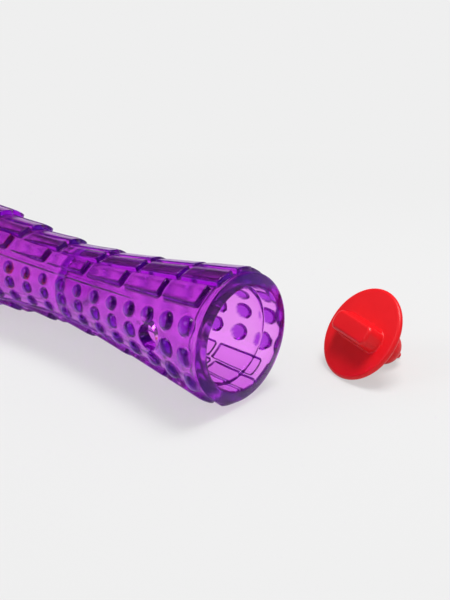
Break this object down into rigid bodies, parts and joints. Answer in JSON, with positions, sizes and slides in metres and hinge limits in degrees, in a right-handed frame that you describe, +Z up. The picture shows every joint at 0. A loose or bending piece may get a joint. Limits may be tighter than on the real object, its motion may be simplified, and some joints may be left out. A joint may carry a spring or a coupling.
{
  "type": "treat dispensing dog toy",
  "caption": "Waisted see-through rubber tube with nubs, raised pads and dispensing holes; each end takes a red squeaker plug with a finger grip.",
  "frame": {"origin": "middle of the base of the box that holds the tube and the loose plug, on the surface that they lie on", "axes": "+X along the tube towards its open mouth, +Y away from the side with the dispensing holes, +Z up"},
  "size_m": [0.2634, 0.1142, 0.0643],
  "materials": {
    "purple_rubber": "clear tinted thermoplastic rubber, glossy",
    "red_plastic": "moulded, satin gloss",
    "red_vinyl": "soft moulded vinyl",
    "white_plastic": "moulded",
    "reed_film": "clear polyester film"
  },
  "bodies": {
    "toy_body": {"body": "purple_rubber"},
    "left_plug": {"left_plug_cap": "red_plastic", "left_squeaker_bulb": "red_vinyl", "left_reed_block": "white_plastic", "left_reed_cover": "white_plastic", "left_reed": "reed_film"},
    "right_plug": {"right_plug_cap": "red_plastic", "right_squeaker_bulb": "red_vinyl", "right_reed_block": "white_plastic", "right_reed_cover": "white_plastic", "right_reed": "reed_film"}
  },
  "joints": [
    {"name": "left_plug_pull", "type": "slide", "parent": "toy_body", "child": "left_plug", "axis": [-1, 0, 0], "range_m": [0, 0.06]},
    {"name": "right_plug_lift", "type": "slide", "parent": "toy_body", "child": "right_plug", "axis": [0, 0, 1], "range_m": [0, 0.06]}
  ]
}
